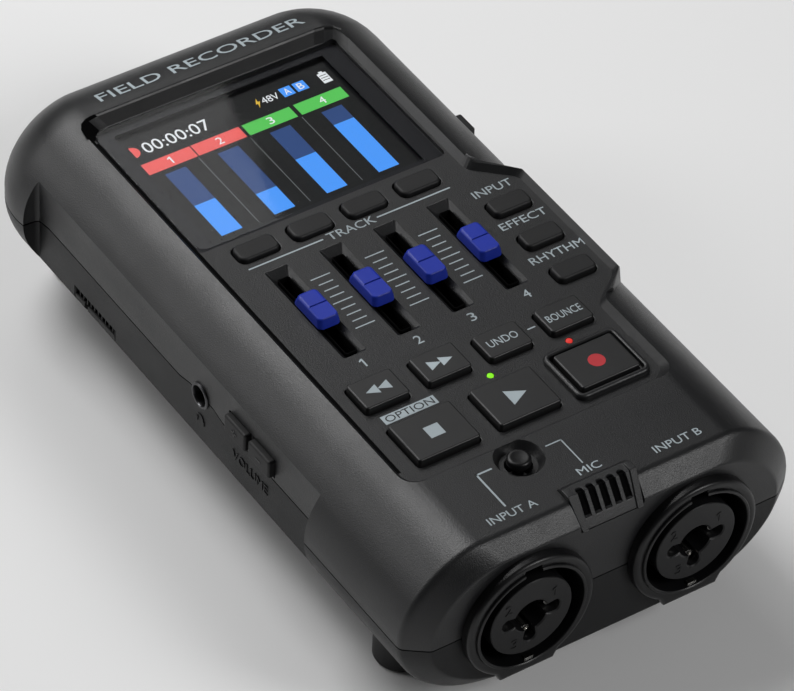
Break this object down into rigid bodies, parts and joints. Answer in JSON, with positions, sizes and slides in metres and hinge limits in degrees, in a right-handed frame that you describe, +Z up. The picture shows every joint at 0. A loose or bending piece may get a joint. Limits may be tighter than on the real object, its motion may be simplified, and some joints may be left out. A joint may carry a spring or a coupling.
{
  "type": "portable field recorder",
  "caption": "Pocket audio recorder: rounded slab case, sunk control panel with screen, faders and keys, combination input sockets on one end, microphone grille, side buttons and feet.",
  "frame": {"origin": "centre of the bounding box in X and Y, on the surface the feet stand on", "axes": "+Z up, +Y towards the screen end, the input sockets face -Y, the headphone jack is on the -X side"},
  "size_m": [0.0744, 0.1342, 0.0375],
  "materials": {
    "case": "fine grain",
    "black": "satin",
    "keys": "matt",
    "blue": "satin",
    "steel": "satin",
    "board": "gloss",
    "lens": "clear, dark behind",
    "green": "translucent",
    "red": "translucent",
    "battery": "printed wrap"
  },
  "bodies": {
    "case": {"battery_1": "battery", "battery_2": "battery", "battery_3": "battery", "battery_4": "battery", "contact_front": "steel", "contact_rear": "steel", "fader_track_1": "steel", "fader_track_2": "steel", "fader_track_3": "steel", "fader_track_4": "steel", "foot_front_left": "keys", "foot_front_right": "keys", "foot_rear_left": "keys", "foot_rear_right": "keys", "green_lamp": "green", "headphone_jack": "steel", "joystick_base": "steel", "lcd_module": "black", "lower_shell": "case", "main_board": "board", "mic_capsule_left": "steel", "mic_capsule_right": "steel", "mic_grille": "case", "panel_board": "board", "record_frame": "case", "red_lamp": "red", "screen_lens": "lens", "socket_insert_a": "black", "socket_insert_b": "black", "socket_shell_a": "black", "socket_shell_b": "black", "speaker": "black", "tripod_nut": "steel", "upper_shell": "case"},
    "soft_key_1": {"soft_key_1": "keys"},
    "soft_key_2": {"soft_key_2": "keys"},
    "soft_key_3": {"soft_key_3": "keys"},
    "soft_key_4": {"soft_key_4": "keys"},
    "input_key": {"input_key": "keys"},
    "effect_key": {"effect_key": "keys"},
    "rhythm_key": {"rhythm_key": "keys"},
    "undo_key": {"undo_key": "keys"},
    "bounce_key": {"bounce_key": "keys"},
    "rewind_key": {"rewind_key": "keys"},
    "forward_key": {"forward_key": "keys"},
    "stop_key": {"stop_key": "keys"},
    "play_key": {"play_key": "keys"},
    "record_key": {"record_key": "keys"},
    "fader_cap_1": {"fader_cap_1": "blue"},
    "fader_cap_2": {"fader_cap_2": "blue"},
    "fader_cap_3": {"fader_cap_3": "blue"},
    "fader_cap_4": {"fader_cap_4": "blue"},
    "joystick_gimbal": {"joystick_gimbal": "steel"},
    "joystick_knob": {"joystick_knob": "black"},
    "volume_up": {"volume_up": "keys"},
    "volume_down": {"volume_down": "keys"},
    "power_switch": {"power_switch": "keys"},
    "battery_hatch": {"battery_hatch": "case"},
    "port_cover": {"port_cover": "keys"},
    "card_cover": {"card_cover": "keys"}
  },
  "joints": [
    {"name": "soft_key_1_press", "type": "slide", "parent": "case", "child": "soft_key_1", "axis": [0, 0, -1], "range_m": [0, 0.0007], "stiffness_N_per_m": 400},
    {"name": "soft_key_2_press", "type": "slide", "parent": "case", "child": "soft_key_2", "axis": [0, 0, -1], "range_m": [0, 0.0007], "stiffness_N_per_m": 400},
    {"name": "soft_key_3_press", "type": "slide", "parent": "case", "child": "soft_key_3", "axis": [0, 0, -1], "range_m": [0, 0.0007], "stiffness_N_per_m": 400},
    {"name": "soft_key_4_press", "type": "slide", "parent": "case", "child": "soft_key_4", "axis": [0, 0, -1], "range_m": [0, 0.0007], "stiffness_N_per_m": 400},
    {"name": "input_key_press", "type": "slide", "parent": "case", "child": "input_key", "axis": [0, 0, -1], "range_m": [0, 0.0007], "stiffness_N_per_m": 400},
    {"name": "effect_key_press", "type": "slide", "parent": "case", "child": "effect_key", "axis": [0, 0, -1], "range_m": [0, 0.0007], "stiffness_N_per_m": 400},
    {"name": "rhythm_key_press", "type": "slide", "parent": "case", "child": "rhythm_key", "axis": [0, 0, -1], "range_m": [0, 0.0007], "stiffness_N_per_m": 400},
    {"name": "undo_key_press", "type": "slide", "parent": "case", "child": "undo_key", "axis": [0, 0, -1], "range_m": [0, 0.0007], "stiffness_N_per_m": 400},
    {"name": "bounce_key_press", "type": "slide", "parent": "case", "child": "bounce_key", "axis": [0, 0, -1], "range_m": [0, 0.0007], "stiffness_N_per_m": 400},
    {"name": "rewind_key_press", "type": "slide", "parent": "case", "child": "rewind_key", "axis": [0, 0, -1], "range_m": [0, 0.0007], "stiffness_N_per_m": 400},
    {"name": "forward_key_press", "type": "slide", "parent": "case", "child": "forward_key", "axis": [0, 0, -1], "range_m": [0, 0.0007], "stiffness_N_per_m": 400},
    {"name": "stop_key_press", "type": "slide", "parent": "case", "child": "stop_key", "axis": [0, 0, -1], "range_m": [0, 0.0007], "stiffness_N_per_m": 400},
    {"name": "play_key_press", "type": "slide", "parent": "case", "child": "play_key", "axis": [0, 0, -1], "range_m": [0, 0.0007], "stiffness_N_per_m": 400},
    {"name": "record_key_press", "type": "slide", "parent": "case", "child": "record_key", "axis": [0, 0, -1], "range_m": [0, 0.0007], "stiffness_N_per_m": 400},
    {"name": "fader_1_slide", "type": "slide", "parent": "case", "child": "fader_cap_1", "axis": [0, 1, 0], "range_m": [-0.0075, 0.0075]},
    {"name": "fader_2_slide", "type": "slide", "parent": "case", "child": "fader_cap_2", "axis": [0, 1, 0], "range_m": [-0.0075, 0.0075]},
    {"name": "fader_3_slide", "type": "slide", "parent": "case", "child": "fader_cap_3", "axis": [0, 1, 0], "range_m": [-0.0075, 0.0075]},
    {"name": "fader_4_slide", "type": "slide", "parent": "case", "child": "fader_cap_4", "axis": [0, 1, 0], "range_m": [-0.0075, 0.0075]},
    {"name": "joystick_tilt_x", "type": "hinge", "parent": "case", "child": "joystick_gimbal", "pos_m": [-0.0074, -0.04955, 0.0319], "axis": [1, 0, 0], "range_deg": [-6, 6], "stiffness_Nm_per_rad": 0.0005},
    {"name": "joystick_tilt_y", "type": "hinge", "parent": "joystick_gimbal", "child": "joystick_knob", "pos_m": [-0.0074, -0.04955, 0.0319], "axis": [0, 1, 0], "range_deg": [-6, 6], "stiffness_Nm_per_rad": 0.0005},
    {"name": "volume_up_press", "type": "slide", "parent": "case", "child": "volume_up", "axis": [1, 0, 0], "range_m": [0, 0.0006], "stiffness_N_per_m": 400},
    {"name": "volume_down_press", "type": "slide", "parent": "case", "child": "volume_down", "axis": [1, 0, 0], "range_m": [0, 0.0006], "stiffness_N_per_m": 400},
    {"name": "power_switch_slide", "type": "slide", "parent": "case", "child": "power_switch", "axis": [0, 1, 0], "range_m": [-0.0029, 0.0029]},
    {"name": "battery_hatch_lift", "type": "slide", "parent": "case", "child": "battery_hatch", "axis": [0, 0, -1], "range_m": [0, 0.03]},
    {"name": "port_cover_pull", "type": "slide", "parent": "case", "child": "port_cover", "axis": [-1, 0, 0], "range_m": [0, 0.008]},
    {"name": "card_cover_pull", "type": "slide", "parent": "case", "child": "card_cover", "axis": [1, 0, 0], "range_m": [0, 0.008]}
  ]
}
